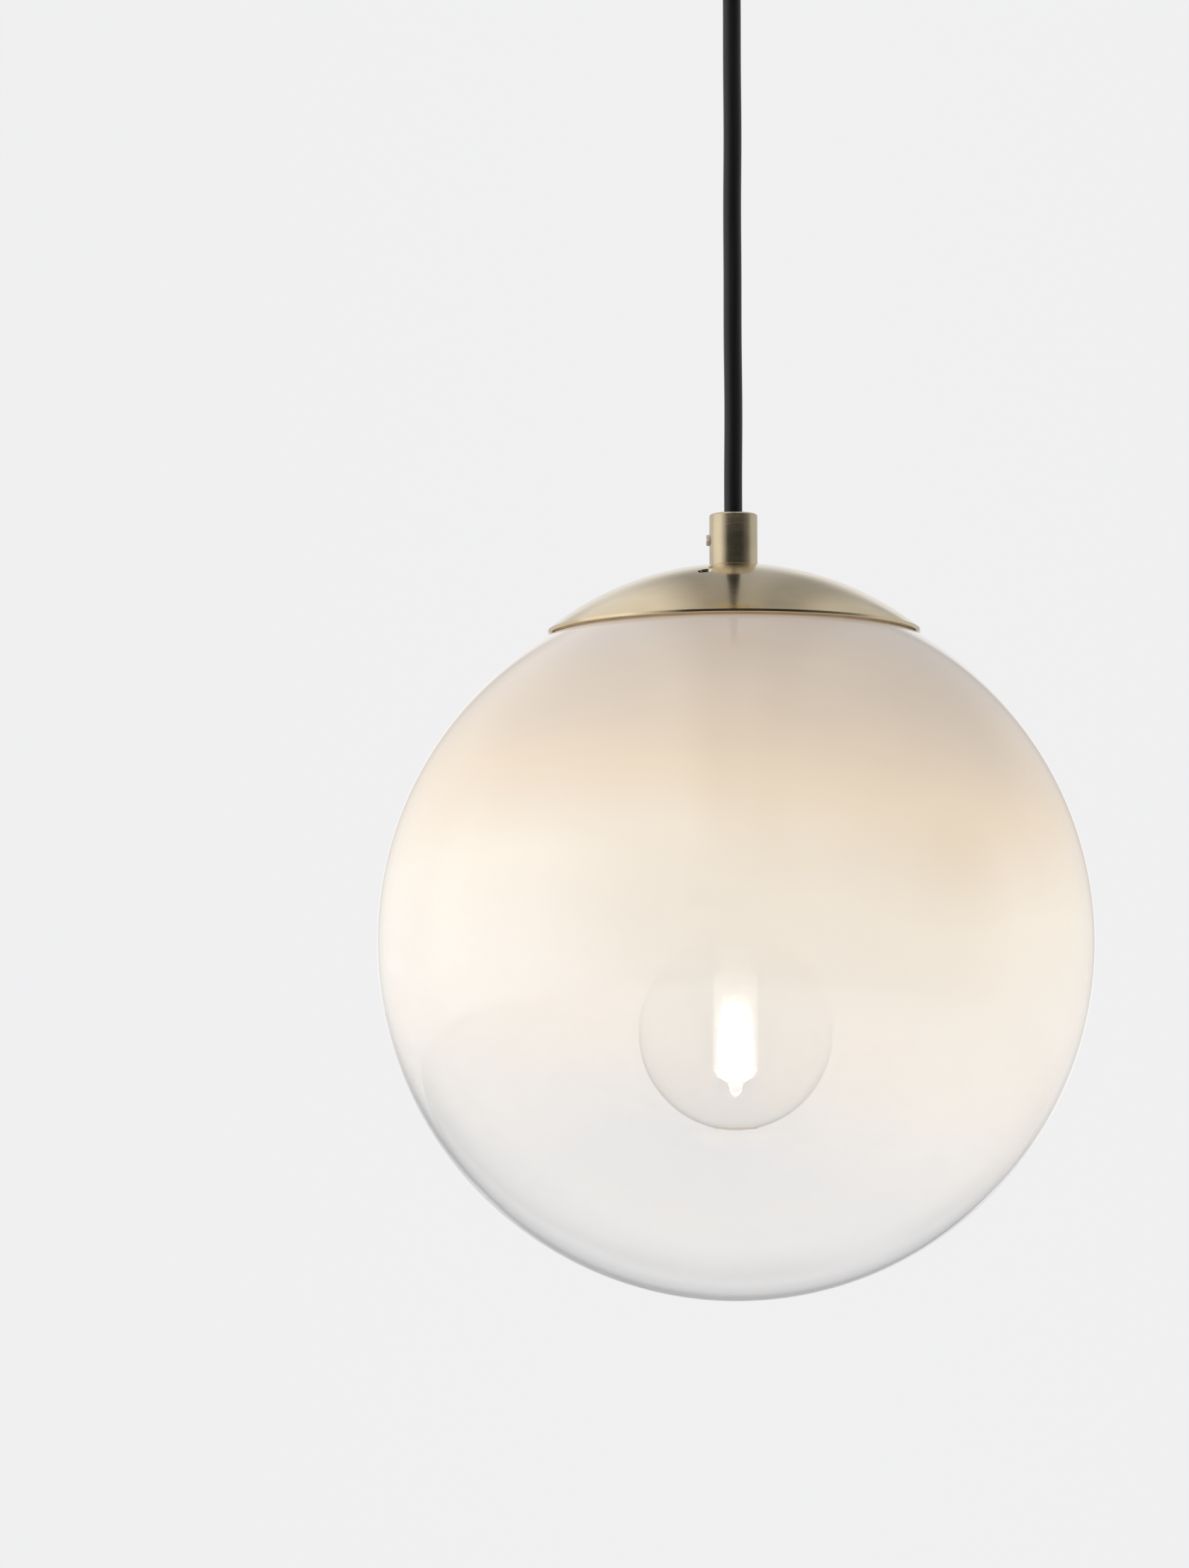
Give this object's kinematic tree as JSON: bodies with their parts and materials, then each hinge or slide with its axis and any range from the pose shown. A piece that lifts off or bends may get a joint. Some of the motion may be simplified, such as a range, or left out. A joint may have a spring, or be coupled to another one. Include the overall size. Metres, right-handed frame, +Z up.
{
  "type": "pendant ceiling light",
  "caption": "Pendant ceiling light: part-opal glass globe under a shallow brass dome with a cord grip, hung on a cord from a small ceiling canopy.",
  "frame": {"origin": "middle of the ceiling bracket's top face, where it lies against the ceiling", "axes": "+Z up towards the ceiling, +X to the light's right and -Y towards its front, the side from which the clamp screw is on the left"},
  "size_m": [0.3, 0.3, 0.6044],
  "materials": {
    "polished_brass": "polished, pale champagne tone",
    "brushed_brass": "brushed, antique tone",
    "plain_brass": "turned",
    "steel": "zinc plated",
    "cord": "smooth satin PVC jacket",
    "black_plastic": "moulded",
    "white_plastic": "moulded",
    "clear_nylon": "translucent",
    "silicone": "soft",
    "ceramic": "unglazed ceramic",
    "globe_glass": "blown, opal at the top fading to clear at the bottom",
    "bulb_glass": "clear",
    "vitrite": "black glass",
    "tungsten": "glowing warm white",
    "core_brown": "PVC",
    "core_blue": "PVC",
    "core_green_yellow": "PVC"
  },
  "bodies": {
    "ceiling": {"ceiling_bracket": "steel", "canopy": "polished_brass", "canopy_screw_1": "plain_brass", "canopy_screw_2": "plain_brass", "canopy_nipple": "steel", "canopy_washer": "steel", "canopy_nut": "steel", "canopy_grip": "brushed_brass", "canopy_grip_screw": "clear_nylon", "terminal_block": "white_plastic", "block_screw": "steel", "terminal_screw_1": "plain_brass", "terminal_screw_2": "plain_brass", "terminal_screw_3": "plain_brass", "top_core_live": "core_brown", "top_core_neutral": "core_blue", "top_core_earth": "core_green_yellow", "cord_tail": "cord"},
    "cord_top": {"cord_link": "cord"},
    "cord_run": {"cord": "cord"},
    "head": {"cord_grip": "brushed_brass", "cord_grip_screw": "clear_nylon", "dome": "polished_brass", "stem": "plain_brass", "stem_washer": "steel", "stem_nut": "steel", "seal_ring": "silicone", "carrier": "steel", "carrier_nut": "steel", "spring_clip_1": "steel", "spring_clip_2": "steel", "spring_clip_3": "steel", "clip_rivet_1": "steel", "clip_rivet_2": "steel", "clip_rivet_3": "steel", "holder_cap": "black_plastic", "holder_body": "black_plastic", "holder_insulator": "ceramic", "screw_shell": "plain_brass", "centre_contact": "plain_brass", "holder_terminal_live": "plain_brass", "holder_terminal_neutral": "plain_brass", "holder_terminal_earth": "plain_brass", "holder_screw_live": "steel", "holder_screw_neutral": "steel", "holder_screw_earth": "steel", "core_live": "core_brown", "core_neutral": "core_blue", "core_earth": "core_green_yellow"},
    "globe": {"glass_globe": "globe_glass"},
    "bulb_foot": {"bulb_contact": "steel"},
    "bulb": {"bulb_cap": "plain_brass", "bulb_insulator": "vitrite", "bulb_glass": "bulb_glass", "bulb_mount": "bulb_glass", "lead_1": "steel", "lead_2": "steel", "capsule_pinch": "bulb_glass", "capsule": "bulb_glass", "filament": "tungsten"}
  },
  "joints": [
    {"name": "swing_side", "type": "hinge", "parent": "ceiling", "child": "cord_top", "pos_m": [0, 0, -0.05345], "axis": [0, 1, 0], "range_deg": [-30, 30]},
    {"name": "swing_front", "type": "hinge", "parent": "cord_top", "child": "cord_run", "pos_m": [0, 0, -0.11545], "axis": [1, 0, 0], "range_deg": [-30, 30]},
    {"name": "twist", "type": "hinge", "parent": "cord_run", "child": "head", "pos_m": [0, 0, -0.2743], "axis": [0, 0, 1], "range_deg": [-90, 90], "stiffness_Nm_per_rad": 0.01},
    {"name": "globe_drop", "type": "slide", "parent": "head", "child": "globe", "axis": [0, 0, -1], "range_m": [0, 0.235]},
    {"name": "bulb_travel", "type": "slide", "parent": "head", "child": "bulb_foot", "axis": [0, 0, 1], "range_m": [-0.0091, 0]},
    {"name": "bulb_turn", "type": "hinge", "parent": "bulb_foot", "child": "bulb", "pos_m": [0, 0, -0.41535], "axis": [0, 0, 1], "range_deg": [-900, 0]}
  ],
  "couplings": [
    {"joint": "bulb_travel", "follows": "bulb_turn", "m_per_rad": 0.000573}
  ]
}
